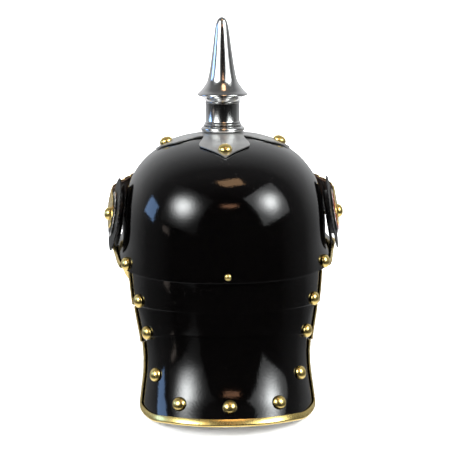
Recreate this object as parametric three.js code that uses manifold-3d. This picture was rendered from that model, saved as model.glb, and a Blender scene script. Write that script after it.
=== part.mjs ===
// Spiked helmet of black lacquered steel with a riveted lobster-tail neck guard,
// a steel spike on a cross base, brass trim, cockades and a chin strap of brass scales.
// Millimetres, +Z up. The visor points to -Y and the wearer's left is +X.
import * as THREE from 'three';
import { mergeVertices } from 'three/addons/utils/BufferGeometryUtils.js';
import Module from 'manifold-3d';

const wasm = await Module();
wasm.setup();

// Driving dimensions of the steel shell. Heights are taken from the skull's widest ring.
const skullWidth = 202;
const skullFront = 120;
const skullBack = 118;
const skullRise = 94;
const domeFullness = 2.5;
const planFullness = 2.3;
const steelSheet = 1.2;
const fitGap = 0.3;
const trimGap = 1.2;
const plateGap = 0.5;

// Rim of the skull: the visor in front, the arch over the ear and the edge over the neck guard.
const visorReach = 45;
const visorDrop = 98;
const earCornerTurn = 113.8;

// Neck guard below the skull.
const guardDrop = 128;
const guardSpread = 30;
const guardOverlap = 0.5;
const tailCornerRadius = 17;

// Brass edging folded over the free edges.
const brassSheet = 0.8;
const trimLap = 3.6;
const footFlat = 0.4;

// Spike, collar and cross base.
const spikeRise = 76.3;
const flangeRadius = 25;
const neckRadius = 16.8;
const neckRise = 31;
const collarRadius = 21.7;
const collarRise = 5.4;
const stemRadius = 5;
const stemNutRadius = 11;
const stemNutThickness = 4;
const baseReach = 67;
const baseForeReach = 79;
const baseShoulder = 24.4;
const baseSheet = 1.2;
const baseLift = 1;

// Domed brass rivets and studs.
const domeRadius = 6.7;
const domeRise = 5.4;
const shankRadius = 1.7;
const rivetTailRadius = 2.8;
const rivetTailRise = 1;
const smallStudRadius = 3.3;
const smallStudRise = 2.8;
const baseStudReach = baseReach * 0.836;
const foreStudReach = baseForeReach * 0.853;

// Cockades.
const cockadeHeight = 15.5;
const cockadeBack = 8;
const cockadeLean = 9;
const cockadeTurn = 7;
const backDiscRadius = 31.5;
const frontDiscRadius = 36.5;
const rayDiscRadius = 22.5;
const centreDiscRadius = 18.5;
const bossRadius = 22;
const toothPitch = 5.4;
const toothDepth = 2.4;
const frontDish = 1.8;

// Chin strap, from one cockade round the front to the other.
const strapEndWidth = 28.8;
const strapMidWidth = 23;
const strapRise = 36;
const strapSheet = 1.6;
const scaleCount = 13;
const scaleSheet = 0.9;
const scaleLift = 1.3;
const endPlateReach = 34;
const endPlateSheet = 1.2;
const buckleLength = 17;
const buckleSheet = 2;

// How finely the faceted solids are divided.
const skullColumns = 36;
const domeRows = 5;
const guardColumns = 14;
const turnedSides = 16;
const studSides = 8;
const ringSides = 12;
const strapSteps = 18;

const halfWidth = skullWidth / 2;
const degrees = Math.PI / 180;
const plateStep = steelSheet + plateGap;

const finishes = {
  lacquer: { color: 0x0b0b0c, roughness: 0.12, metalness: 0.0 },
  steel: { color: 0xc9cacb, roughness: 0.18, metalness: 1.0 },
  satinSteel: { color: 0xb9babb, roughness: 0.36, metalness: 1.0 },
  brass: { color: 0xd8b13c, roughness: 0.2, metalness: 1.0 },
  blackCockade: { color: 0x0a0a0a, roughness: 0.45, metalness: 0.0 },
  silver: { color: 0xd9dadb, roughness: 0.3, metalness: 1.0 },
  redCockade: { color: 0xa8231c, roughness: 0.4, metalness: 0.0 },
  leather: { color: 0x1d1410, roughness: 0.6, metalness: 0.0 },
};

const helmet = new THREE.Group();

function addPiece(name, geometry, finish) {
  const piece = new THREE.Mesh(geometry, new THREE.MeshStandardMaterial(finishes[finish]));
  piece.name = name;
  helmet.add(piece);
  return piece;
}

// Closed bodies

// Joins equal corners, drops triangles that have shrunk to a line and turns the faces outwards.
function closedBody(source) {
  const bare = source.index ? source.toNonIndexed() : source.clone();
  for (const name of ['normal', 'uv']) {
    bare.deleteAttribute(name);
  }
  bare.clearGroups();
  const merged = mergeVertices(bare, 1e-4);
  const corners = [];
  const a = new THREE.Vector3();
  const b = new THREE.Vector3();
  const c = new THREE.Vector3();
  let volume = 0;
  for (let i = 0; i < merged.index.count; i += 3) {
    const [p, q, r] = [0, 1, 2].map((step) => merged.index.getX(i + step));
    if (p !== q && q !== r && r !== p) {
      corners.push(p, q, r);
      a.fromBufferAttribute(merged.attributes.position, p);
      b.fromBufferAttribute(merged.attributes.position, q);
      c.fromBufferAttribute(merged.attributes.position, r);
      volume += a.dot(b.cross(c));
    }
  }
  if (volume < 0) {
    corners.reverse();
  }
  const body = new THREE.BufferGeometry();
  body.setAttribute('position', merged.attributes.position.clone());
  body.setIndex(corners);
  return body;
}

function toManifold(geometry) {
  const mesh = new wasm.Mesh({
    numProp: 3,
    vertProperties: new Float32Array(geometry.attributes.position.array),
    triVerts: new Uint32Array(geometry.index.array),
  });
  return new wasm.Manifold(mesh);
}

function fromManifold(manifold) {
  const mesh = manifold.getMesh();
  const geometry = new THREE.BufferGeometry();
  geometry.setAttribute('position', new THREE.BufferAttribute(new Float32Array(mesh.vertProperties), 3));
  geometry.setIndex([...mesh.triVerts]);
  return geometry;
}

function cutAway(geometry, cutters) {
  let left = toManifold(geometry);
  for (const cutter of cutters) {
    left = left.subtract(toManifold(cutter));
  }
  return fromManifold(left);
}

// A body through sections that each have an outer and an inner line of equally many points.
// Endless bodies join the last section to the first, the others end in flat caps.
function sectionBody(sections, endless = false) {
  const spots = [];
  const triangle = (...points) => spots.push(...points.flatMap((point) => [point.x, point.y, point.z]));
  const quad = (p, q, r, s) => {
    triangle(p, q, r);
    triangle(p, r, s);
  };
  const rings = sections.map(({ outer, inner }) => [...outer, ...inner.toReversed()]);
  const spans = endless ? rings.length : rings.length - 1;
  for (let i = 0; i < spans; i += 1) {
    const here = rings[i];
    const next = rings[(i + 1) % rings.length];
    for (let j = 0; j < here.length; j += 1) {
      const k = (j + 1) % here.length;
      quad(here[j], next[j], next[k], here[k]);
    }
  }
  const cap = ({ outer, inner }, flip) => {
    for (let j = 0; j + 1 < outer.length; j += 1) {
      const corners = [outer[j], outer[j + 1], inner[j + 1], inner[j]];
      quad(...(flip ? corners.reverse() : corners));
    }
  };
  if (!endless) {
    cap(sections[0], false);
    cap(sections.at(-1), true);
  }
  const geometry = new THREE.BufferGeometry();
  geometry.setAttribute('position', new THREE.Float32BufferAttribute(spots, 3));
  return closedBody(geometry);
}

// A turned body about Z. The profile holds [radius, height] pairs from axis to axis.
function turned(profile, sides) {
  const lathe = new THREE.LatheGeometry(profile.map(([r, z]) => new THREE.Vector2(r, z)), sides);
  return closedBody(lathe.rotateX(Math.PI / 2));
}

// Smooth value of a named column of a table whose rows stand at the places in column key. Level
// ends are for a table whose two ends are planes of symmetry.
function fromTable(rows, key, column, place, levelEnds = false) {
  const last = rows.length - 1;
  const spot = THREE.MathUtils.clamp(place, rows[0][key], rows[last][key]);
  let i = 0;
  while (i < last - 1 && rows[i + 1][key] < spot) {
    i += 1;
  }
  const share = (spot - rows[i][key]) / (rows[i + 1][key] - rows[i][key]);
  const slope = (n) => {
    if (levelEnds && (n === 0 || n === last)) {
      return 0;
    }
    const before = rows[Math.max(n - 1, 0)];
    const after = rows[Math.min(n + 1, last)];
    return (after[column] - before[column]) / (after[key] - before[key]);
  };
  const span = rows[i + 1][key] - rows[i][key];
  const s2 = share * share;
  const s3 = s2 * share;
  return rows[i][column] * (2 * s3 - 3 * s2 + 1) + slope(i) * span * (s3 - 2 * s2 + share)
    + rows[i + 1][column] * (3 * s2 - 2 * s3) + slope(i + 1) * span * (s3 - s2);
}

// Skull

// The rim by its turn from the front, in degrees. Flare is the share of the visor's reach that
// the rim stands outside the skull, drop the share of the visor's drop, crease the share of the
// way down where the flare begins, and curl how late it bends.
const rimRows = [
  { turn: 0, flare: 1, drop: 1, crease: 0.36, curl: 1.15 },
  { turn: 15, flare: 0.97, drop: 0.985, crease: 0.36, curl: 1.15 },
  { turn: 30, flare: 0.8, drop: 0.9, crease: 0.36, curl: 1.15 },
  { turn: 45, flare: 0.5, drop: 0.69, crease: 0.36, curl: 1.2 },
  { turn: 60, flare: 0.28, drop: 0.43, crease: 0.3, curl: 1.4 },
  { turn: 72, flare: 0.24, drop: 0.245, crease: 0.12, curl: 1.7 },
  { turn: 83, flare: 0.24, drop: 0.158, crease: 0, curl: 2 },
  { turn: 98, flare: 0.14, drop: 0.241, crease: 0, curl: 2 },
  { turn: earCornerTurn, flare: 0.115, drop: 0.306, crease: 0, curl: 2 },
  { turn: 130, flare: 0.02, drop: 0.337, crease: 0, curl: 2 },
  { turn: 180, flare: 0, drop: 0.349, crease: 0, curl: 2 },
];

const rimTurn = (turn) => Math.abs(turn) / degrees;
const rimValue = (turn, column) => fromTable(rimRows, 'turn', column, rimTurn(turn), true);
const rimDrop = (turn) => visorDrop * rimValue(turn, 'drop');

function planRadius(turn) {
  const length = Math.cos(turn) > 0 ? skullFront : skullBack;
  const across = (Math.abs(Math.sin(turn)) / halfWidth) ** planFullness;
  const along = (Math.abs(Math.cos(turn)) / length) ** planFullness;
  return (across + along) ** (-1 / planFullness);
}

// Level runs from 0 at the crown to 1 at the widest ring and 2 at the rim.
function skullProfile(turn, level) {
  if (level <= 1) {
    const fall = level * Math.PI / 2;
    const out = Math.sin(fall) ** (2 / domeFullness);
    return [planRadius(turn) * out, skullRise * Math.max(Math.cos(fall), 0) ** (2 / domeFullness)];
  }
  const down = level - 1;
  const crease = rimValue(turn, 'crease');
  const flare = visorReach * rimValue(turn, 'flare');
  const bend = Math.max(0, (down - crease) / (1 - crease)) ** rimValue(turn, 'curl');
  return [planRadius(turn) + flare * bend, -rimDrop(turn) * down];
}

function skullPoint(turn, level) {
  const [radius, height] = skullProfile(turn, level);
  return new THREE.Vector3(Math.sin(turn) * radius, -Math.cos(turn) * radius, height);
}

function normalOf(surface, a, b, step) {
  const alongA = surface(a + step, b).sub(surface(a - step, b));
  const alongB = surface(a, b + step).sub(surface(a, b - step));
  return alongA.cross(alongB).normalize();
}

function skullNormal(turn, level) {
  const spot = THREE.MathUtils.clamp(level, 0.02, 1.98);
  const normal = normalOf(skullPoint, turn, spot, 0.01);
  const outward = skullPoint(turn, spot);
  return normal.dot(outward) < 0 ? normal.negate() : normal;
}

// A point of the skull moved along its normal. The crown keeps one shared point.
function skullAt(turn, level, depth) {
  if (level === 0) {
    return new THREE.Vector3(0, 0, skullRise - depth);
  }
  return skullPoint(turn, level).addScaledVector(skullNormal(turn, level), -depth);
}

// The level at which the skull has a given height above its widest ring.
function levelAtHeight(turn, height) {
  if (height < 0) {
    return 1 - height / rimDrop(turn);
  }
  return Math.acos((height / skullRise) ** (domeFullness / 2)) / (Math.PI / 2);
}

const rimLevels = [1.2, 1.36, 1.52, 1.76, 2];
const skullLevels = [...Array(domeRows + 1).keys()].map((row) => row / domeRows).concat(rimLevels);

// Columns stand closer where the rim turns the corner behind the ear.
function skullTurns() {
  const corner = earCornerTurn * degrees;
  const frontColumns = Math.round(skullColumns * 0.34);
  const backColumns = skullColumns / 2 - frontColumns;
  const half = [];
  for (let i = 0; i < frontColumns; i += 1) {
    half.push(corner * i / frontColumns);
  }
  for (let i = 0; i <= backColumns; i += 1) {
    half.push(corner + (Math.PI - corner) * i / backColumns);
  }
  return [...half, ...half.slice(1, -1).map((turn) => -turn).toReversed()];
}

function skullShell() {
  const sections = skullTurns().map((turn) => ({
    outer: skullLevels.map((level) => skullAt(turn, level, 0)),
    inner: skullLevels.map((level) => skullAt(turn, level, steelSheet)),
  }));
  return sectionBody(sections, true);
}

// Neck guard

// Sections of the guard below the skull's edge. Side is the edge's distance from the middle as
// a share of half the skull's width. Edge and mid give how far the side edge and the middle
// stand behind the ear corner and the skull's back as shares of the guard's spread, and how far
// they lie below the skull's edge as shares of the guard's drop.
const guardRows = [
  { station: -1, side: 0.952, edgeBack: -0.35, edgeDrop: -0.14, midBack: -0.02, midDrop: -0.12 },
  { station: 0, side: 0.942, edgeBack: 0.05, edgeDrop: 0.0, midBack: 0.0, midDrop: 0.0 },
  { station: 1, side: 0.888, edgeBack: 0.4, edgeDrop: 0.28, midBack: 0.02, midDrop: 0.222 },
  { station: 2, side: 0.812, edgeBack: 0.7, edgeDrop: 0.553, midBack: 0.07, midDrop: 0.402 },
  { station: 3, side: 0.798, edgeBack: 0.87, edgeDrop: 0.735, midBack: 0.23, midDrop: 0.625 },
  { station: 4, side: 0.828, edgeBack: 1.12, edgeDrop: 0.97, midBack: 0.54, midDrop: 0.83 },
  { station: 5, side: 0.835, edgeBack: 1.32, edgeDrop: 1.115, midBack: 1.0, midDrop: 1.0 },
];

const earCorner = skullPoint(earCornerTurn * degrees, 2);
const backEdge = skullPoint(Math.PI, 2);
const edgeShare = 0.951;

// How deep the plan of the guard lies behind its middle, from 0 there to 1 at the side edge.
function bow(across) {
  const depthAt = (share) => 1 - (1 - share ** planFullness) ** (1 / planFullness);
  return depthAt(Math.min(Math.abs(across), 1) * edgeShare) / depthAt(edgeShare);
}

function guardPoint(across, station) {
  const value = (column) => fromTable(guardRows, 'station', column, station);
  const edgeY = earCorner.y + guardSpread * value('edgeBack');
  const edgeZ = earCorner.z - guardDrop * value('edgeDrop');
  const midY = backEdge.y - plateStep + guardSpread * value('midBack');
  const midZ = backEdge.z - guardDrop * value('midDrop');
  const depth = bow(across);
  return new THREE.Vector3(
    halfWidth * value('side') * across,
    midY + (edgeY - midY) * depth,
    midZ + (edgeZ - midZ) * depth * depth,
  );
}

function guardNormal(across, station) {
  const side = THREE.MathUtils.clamp(across, -0.98, 0.98);
  const normal = normalOf(guardPoint, side, THREE.MathUtils.clamp(station, -0.98, 4.98), 0.01);
  return normal.y < 0 ? normal.negate() : normal;
}

function guardAt(across, station, depth) {
  return guardPoint(across, station).addScaledVector(guardNormal(across, station), -depth);
}

// Each plate tucks under the one above it: it lies one step deeper there and comes out to the
// guard's surface at its own lower edge. Stations are those of the guard's sections.
const plates = [
  { name: 'lame_1', seam: 0, bottom: 1, rows: 2, tuck: 0 },
  { name: 'lame_2', seam: 1, bottom: 2, rows: 2, tuck: 2 },
  { name: 'tail_plate', seam: 2, bottom: 5, rows: 5, tuck: 2 },
];

function plateDepth(plate, station) {
  const above = plates[plates.indexOf(plate) - 1];
  if (station < plate.seam) {
    return plateStep + (above ? plateDepth(above, station) : 0);
  }
  return plateStep * (1 - (station - plate.seam) / (plate.bottom - plate.seam));
}

// Tuck says how many laps of brass narrower the tucked part is, to clear that of the plate above.
const seamRoom = 0.05;
const cornerAngles = [28, 56, 90];

// Length of the side edge between a row of the guard's table and the row before it.
function stationLength(row) {
  return guardPoint(1, row.station).distanceTo(guardPoint(1, row.station - 1));
}

// Rows of a plate: its station and the share of the half width that it keeps, which falls off
// round the corners of the last plate.
function plateRows(plate) {
  const lowest = guardRows.at(-1);
  const rounded = plate.bottom === lowest.station;
  const cornerStations = rounded ? tailCornerRadius / stationLength(lowest) : 0;
  const straight = plate.bottom - cornerStations;
  const tucked = 1 - plate.tuck * trimLap / halfWidth;
  const rows = [
    { station: plate.seam - guardOverlap, share: tucked },
    { station: plate.seam + seamRoom, share: tucked },
  ];
  for (let i = 0; i <= plate.rows; i += 1) {
    const first = plate.seam + 2 * seamRoom;
    rows.push({ station: first + (straight - first) * i / plate.rows, share: 1 });
  }
  if (rounded) {
    const cornerShare = tailCornerRadius / (halfWidth * lowest.side);
    for (const angle of cornerAngles) {
      rows.push({
        station: straight + cornerStations * Math.sin(angle * degrees),
        share: 1 - cornerShare * (1 - Math.cos(angle * degrees)),
      });
    }
  }
  return rows;
}

const acrossShares = [...Array(guardColumns + 1).keys()].map((column) => {
  const spread = 66 * degrees;
  return Math.sin(spread * (2 * column / guardColumns - 1)) / Math.sin(spread);
});

function plateBody(plate) {
  const rows = plateRows(plate);
  const sections = acrossShares.map((across) => {
    const line = (extra) => rows.map(({ station, share }) => (
      guardAt(across * share, station, plateDepth(plate, station) + extra)
    ));
    return { outer: line(0), inner: line(steelSheet) };
  });
  return sectionBody(sections);
}

// Brass edging

// Folded strip over an edge. Each spot has a point of the edge, a point of the sheet inside it
// and a point of the sheet's other face.
function foldedTrim(spots) {
  const sections = spots.map(({ edge, inside, back }, i) => {
    const before = spots[Math.max(i - 1, 0)].edge;
    const after = spots[Math.min(i + 1, spots.length - 1)].edge;
    const along = after.clone().sub(before).normalize();
    const inward = inside.clone().sub(edge);
    inward.addScaledVector(along, -inward.dot(along)).normalize();
    const normal = inward.clone().cross(along).normalize();
    if (normal.dot(back.clone().sub(edge)) > 0) {
      normal.negate();
    }
    const place = (into, deep) => edge.clone().addScaledVector(inward, into).addScaledVector(normal, -deep);
    const skin = trimGap + brassSheet;
    return {
      outer: [
        place(trimLap, -skin), place(-skin, -skin),
        place(-skin, steelSheet + skin), place(trimLap, steelSheet + skin),
      ],
      inner: [
        place(trimLap, -trimGap), place(-trimGap, -trimGap),
        place(-trimGap, steelSheet + trimGap), place(trimLap, steelSheet + trimGap),
      ],
    };
  });
  return sectionBody(sections);
}

// The skull's front edge, from one ear corner to the other.
function visorTrim() {
  const reach = (earCornerTurn - 1.5) * degrees;
  const turns = skullTurns().filter((turn) => Math.abs(turn) < reach - 0.05);
  const edgeTurns = [-reach, ...turns, reach].sort((p, q) => p - q);
  return foldedTrim(edgeTurns.map((turn) => ({
    edge: skullAt(turn, 2, 0),
    inside: skullAt(turn, rimLevels.at(-2), 0),
    back: skullAt(turn, 2, steelSheet),
  })));
}

// Spots along a plate's edge, given as shares across it and stations with a point inside each.
function plateSpots(plate, outline) {
  const at = ([across, station], extra) => guardAt(across, station, plateDepth(plate, station) + extra);
  return outline.map(({ edge, inside }) => ({
    edge: at(edge, 0),
    inside: at(inside, 0),
    back: at(edge, steelSheet),
  }));
}

// The rows along a plate's free side edge. A trim ends just short of the plate's lower edge.
function sideStations(plate) {
  const stations = plateRows(plate).filter(({ share }) => share === 1).map(({ station }) => station);
  return [stations[0] + seamRoom, ...stations.slice(1)];
}

function lameTrim(plate, side) {
  const stations = sideStations(plate);
  stations.push(stations.pop() - seamRoom);
  const inner = side * acrossShares.at(-2);
  return foldedTrim(plateSpots(plate, stations.map((station) => (
    { edge: [side, station], inside: [inner, station] }
  ))));
}

// One strip down a side of the tail plate, round its corners and up the other side.
function tailTrim(plate) {
  const rows = plateRows(plate);
  const inner = acrossShares.at(-2);
  const half = sideStations(plate).map((station) => ({ edge: [1, station], inside: [inner, station] }));
  const cornerRows = rows.slice(-cornerAngles.length - 1);
  for (const [i, { station, share }] of cornerRows.slice(1, -1).entries()) {
    half.push({ edge: [share, station], inside: [share * inner, cornerRows[i].station] });
  }
  const [before, last] = rows.slice(-2);
  for (const across of acrossShares.filter((value) => value > -1e-6).toReversed()) {
    const inside = [Math.min(across, inner) * before.share, before.station];
    half.push({ edge: [across * last.share, last.station], inside });
  }
  const other = half.slice(0, -1).toReversed().map(({ edge, inside }) => (
    { edge: [-edge[0], edge[1]], inside: [-inside[0], inside[1]] }
  ));
  return foldedTrim(plateSpots(plate, [...half, ...other]));
}

// Rivets and studs

// A domed head above the height of the outer face, a shank and a small head below the height of
// the inner face.
function rivetBody(radius, rise, faces) {
  const shank = Math.min(shankRadius, radius * 0.45);
  const tail = Math.min(rivetTailRadius, radius * 0.75);
  const head = faces.outer + fitGap;
  const end = faces.inner - 2 * fitGap;
  return turned([
    [0, end - rivetTailRise], [tail, end - rivetTailRise], [tail, end], [shank, end],
    [shank, head], [radius, head], [radius * 0.72, head + rise * 0.72], [0, head + rise],
  ], studSides);
}

function pointAlong(piece, spot, direction) {
  piece.position.copy(spot);
  piece.quaternion.setFromUnitVectors(new THREE.Vector3(0, 0, 1), direction);
  piece.updateMatrix();
}

// Where a shank goes through, the plates have a hole of its radius and the fitting gap.
function shankHole(spot, direction, radius) {
  const reach = radius / Math.cos(Math.PI / studSides);
  const drill = new THREE.CylinderGeometry(reach, reach, drillLength, studSides).rotateX(Math.PI / 2);
  const frame = new THREE.Object3D();
  pointAlong(frame, spot, direction);
  return closedBody(drill.applyMatrix4(frame.matrix));
}

const drillLength = 24;
const probeReach = 12;

// Height along an axis at which a round head first meets a plate, coming from outside (side 1)
// or from inside (side -1).
function seatHeight(plateName, spot, axis, radius, side) {
  const probe = new THREE.Mesh(plateBodies[plateName], new THREE.MeshBasicMaterial({ side: THREE.DoubleSide }));
  const frame = new THREE.Object3D();
  pointAlong(frame, spot, axis);
  const ray = new THREE.Raycaster();
  const heights = [];
  for (let i = 0; i < 6 * studSides; i += 1) {
    const turn = Math.PI * i / studSides;
    const reach = radius * Math.floor(i / studSides / 2) / 2;
    const from = new THREE.Vector3(Math.cos(turn) * reach, Math.sin(turn) * reach, side * probeReach);
    ray.set(from.applyMatrix4(frame.matrix), axis.clone().multiplyScalar(-side));
    const [hit] = ray.intersectObject(probe);
    if (hit) {
      heights.push(side * (probeReach - hit.distance));
    }
  }
  return side > 0 ? Math.max(...heights) : Math.min(...heights);
}

// A rivet through a list of plates, named from the outermost to the innermost.
function addRivet(name, spot, axis, through, radius = domeRadius, rise = domeRise) {
  const faces = {
    outer: seatHeight(through[0], spot, axis, radius, 1),
    inner: seatHeight(through.at(-1), spot, axis, rivetTailRadius, -1),
  };
  pointAlong(addPiece(name, rivetBody(radius, rise, faces), 'brass'), spot, axis);
  for (const plate of through) {
    holes[plate].push(shankHole(spot, axis, Math.min(shankRadius, radius * 0.45) + fitGap));
  }
}

// Side rivets hold each plate to the next one below it.
const sideRivets = [
  { name: 'rivet_lame_1', across: 0.925, station: 0.82, plate: 0, through: ['lame_1', 'lame_2'] },
  { name: 'rivet_lame_2', across: 0.92, station: 1.82, plate: 1, through: ['lame_2', 'tail_plate'] },
  { name: 'rivet_tail_side', across: 0.855, station: 3.3, plate: 2, through: ['tail_plate'] },
  { name: 'rivet_tail_corner', across: 0.56, station: 4.26, plate: 2, through: ['tail_plate'] },
];
const sides = [{ word: 'left', sign: 1 }, { word: 'right', sign: -1 }];
const skullRivetTurn = 119.5;
const skullRivetLevel = 1.8;
const tailMiddleStation = 4.32;
const rearStudHeight = 6.2;

function addGuardRivets() {
  for (const { word, sign } of sides) {
    const turn = sign * skullRivetTurn * degrees;
    addRivet(`rivet_skull_${word}`, skullPoint(turn, skullRivetLevel), skullNormal(turn, skullRivetLevel),
      ['skull', 'lame_1']);
    for (const { name, across, station, plate, through } of sideRivets) {
      const depth = plateDepth(plates[plate], station);
      addRivet(`${name}_${word}`, guardAt(sign * across, station, depth),
        guardNormal(sign * across, station), through);
    }
  }
  const depth = plateDepth(plates[2], tailMiddleStation);
  addRivet('rivet_tail_middle', guardAt(0, tailMiddleStation, depth), guardNormal(0, tailMiddleStation),
    ['tail_plate']);
  const studLevel = levelAtHeight(Math.PI, backEdge.z + rearStudHeight);
  addRivet('rear_stud', skullPoint(Math.PI, studLevel), skullNormal(Math.PI, studLevel),
    ['skull', 'lame_1'], smallStudRadius, smallStudRise);
}

// Cross base, collar and spike

// Outline of half an arm: along is the share of the base's reach, half the share of its shoulder.
const armOutline = [
  { along: 1, half: 0 },
  { along: 0.9, half: 0.36 },
  { along: 0.79, half: 0.76 },
  { along: 0.715, half: 0.97 },
  { along: 0.65, half: 1 },
  { along: 0.4, half: 0.82 },
  { along: 0.29, half: 0.796 },
];

function skullHeightAt(x, y) {
  const turn = Math.atan2(x, -y);
  const share = Math.min(Math.hypot(x, y) / planRadius(turn), 1);
  return skullRise * (1 - share ** domeFullness) ** (1 / domeFullness);
}

function crossBase() {
  const corner = armOutline.at(-1).along;
  const outline = [];
  for (let arm = 0; arm < 4; arm += 1) {
    const turn = arm * Math.PI / 2;
    const extra = arm % 2 === 0 ? 0 : baseForeReach - baseReach;
    const quarter = armOutline.map(({ along, half }) => {
      const share = (along - corner) / (1 - corner);
      return [along * baseReach + share * extra, half * baseShoulder];
    });
    const place = ([along, across]) => [
      along * Math.cos(turn) - across * Math.sin(turn),
      along * Math.sin(turn) + across * Math.cos(turn),
    ];
    const mirrored = quarter.slice(1, -1).toReversed().map(([along, across]) => [along, -across]);
    outline.push(...mirrored.map(place), ...quarter.map(place));
  }
  const rings = [stemRadius + fitGap, collarRadius];
  const outerShares = [0.45, 1];
  const sections = outline.map(([x, y]) => {
    const reach = Math.hypot(x, y);
    const radii = [...rings, ...outerShares.map((share) => collarRadius + (reach - collarRadius) * share)];
    const line = (extra) => radii.map((radius) => {
      const [px, py] = [x * radius / reach, y * radius / reach];
      const lift = baseLift + (radius < collarRadius + 1 ? 0.6 : 0);
      return new THREE.Vector3(px, py, skullHeightAt(px, py) + lift + extra);
    });
    return { outer: line(baseSheet), inner: line(0) };
  });
  return sectionBody(sections, true);
}

const collarSeat = skullRise + baseLift + 0.6 + baseSheet + fitGap;

// Half profile of the spike above its flange: rise and radius as shares of the spike's rise
// and of the flange's radius.
const spikeRows = [
  { rise: 0.0, radius: 1 },
  { rise: 0.05, radius: 0.86 },
  { rise: 0.094, radius: 0.755 },
  { rise: 0.136, radius: 0.665 },
  { rise: 0.188, radius: 0.585 },
  { rise: 0.318, radius: 0.496 },
  { rise: 0.578, radius: 0.38 },
  { rise: 0.838, radius: 0.276 },
  { rise: 0.903, radius: 0.238 },
  { rise: 0.965, radius: 0.17 },
  { rise: 0.99, radius: 0.09 },
];

function addSpike() {
  const bead = [
    [stemRadius + fitGap, 0], [collarRadius - 2, 0], [collarRadius, collarRise * 0.5],
    [collarRadius - 2, collarRise], [stemRadius + fitGap, collarRise], [stemRadius + fitGap, 0],
  ];
  const collar = addPiece('neck_collar', turned(bead, turnedSides), 'steel');
  collar.position.z = collarSeat;
  const neckFoot = collarSeat + collarRise + fitGap;
  const flange = neckFoot + neckRise;
  const crown = new THREE.Vector3(0, 0, skullRise);
  const up = new THREE.Vector3(0, 0, 1);
  const nutTop = skullRise + seatHeight('skull', crown, up, stemNutRadius, -1) - fitGap;
  const profile = [
    [0, nutTop - stemNutThickness], [stemNutRadius, nutTop - stemNutThickness], [stemNutRadius, nutTop],
    [stemRadius, nutTop], [stemRadius, neckFoot], [neckRadius * 1.036, neckFoot],
    [neckRadius, neckFoot + neckRise * 0.1], [neckRadius, flange - neckRise * 0.26],
    [neckRadius * 1.083, flange - neckRise * 0.11],
    ...spikeRows.map(({ rise, radius }) => [flangeRadius * radius, flange + spikeRise * rise]),
    [0, flange + spikeRise],
  ];
  addPiece('spike', turned(profile, turnedSides), 'steel');
  holes.skull.push(shankHole(crown, up, stemRadius + fitGap));
}

function addBaseStuds() {
  const arms = [
    ['back', 180, foreStudReach], ['left', 90, baseStudReach],
    ['front', 0, foreStudReach], ['right', -90, baseStudReach],
  ];
  for (const [word, angle, reach] of arms) {
    const turn = angle * degrees;
    const [x, y] = [Math.sin(turn) * reach, -Math.cos(turn) * reach];
    const level = levelAtHeight(turn, skullHeightAt(x, y));
    const spot = new THREE.Vector3(x, y, skullHeightAt(x, y) + baseLift + baseSheet);
    addRivet(`base_stud_${word}`, spot, skullNormal(turn, level), ['spike_base', 'skull']);
  }
}

// Cockades and the chin strap

// A flat or dished disc with a toothed edge and a round hole, about Z. The dish lets the edge
// lie lower than the middle.
function toothedDisc(radius, thickness, dish, hole) {
  const teeth = Math.round(2 * Math.PI * radius / toothPitch);
  const points = 2 * teeth;
  const sections = [...Array(points).keys()].map((i) => {
    const turn = 2 * Math.PI * i / points;
    const reach = i % 2 ? radius - toothDepth : radius;
    const at = (r, z) => new THREE.Vector3(Math.cos(turn) * r, Math.sin(turn) * r, z);
    const holeTurn = 2 * Math.PI / studSides * Math.round(i * studSides / points);
    const rim = (z) => new THREE.Vector3(Math.cos(holeTurn) * hole, Math.sin(holeTurn) * hole, z);
    return { outer: [rim(thickness), at(reach, thickness - dish)], inner: [rim(0), at(reach, -dish)] };
  });
  return sectionBody(sections, true);
}

// The stack along the cockade's axis, from the skull outwards.
const backDiscFoot = 2;
const discSheet = 1;
const bossFoot = backDiscFoot + discSheet + fitGap;
const bossRise = 4.2;
const dishOverBoss = frontDish * bossRadius / frontDiscRadius;
const frontDiscFoot = bossFoot + bossRise + fitGap + dishOverBoss;
const rayDiscFoot = frontDiscFoot + discSheet + fitGap;
const rayDiscSheet = 0.8;
const centreFoot = rayDiscFoot + rayDiscSheet + fitGap;
const centreSheet = 0.6;
const endPlateFoot = centreFoot + centreSheet + fitGap;
const capFoot = endPlateFoot + endPlateSheet;

function cockadeFrame(sign) {
  const turn = sign * Math.atan2(halfWidth, -cockadeBack);
  const spot = skullPoint(turn, levelAtHeight(turn, cockadeHeight));
  const lean = cockadeLean * degrees;
  const back = cockadeTurn * degrees;
  const axis = new THREE.Vector3(
    sign * Math.cos(back) * Math.cos(lean),
    Math.sin(back) * Math.cos(lean),
    Math.sin(lean),
  );
  return { spot, axis };
}

// The strap climbs forwards from the cockade, so its end plate does too.
const strapSlope = 16;

function strapForward(axis) {
  const forward = new THREE.Vector3(0, -Math.cos(strapSlope * degrees), Math.sin(strapSlope * degrees));
  return forward.addScaledVector(axis, -forward.dot(axis)).normalize();
}

function endPlateShape() {
  const half = strapEndWidth / 2;
  const shape = new THREE.Shape();
  shape.absarc(0, 0, half, Math.PI / 2, 3 * Math.PI / 2, false);
  shape.lineTo(endPlateReach - 4, -half * 0.98);
  shape.lineTo(endPlateReach, 0);
  shape.lineTo(endPlateReach - 4, half * 0.98);
  const hole = new THREE.Path();
  hole.absarc(0, 0, shankRadius + fitGap, 0, 2 * Math.PI, true);
  shape.holes.push(hole);
  return shape;
}

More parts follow.
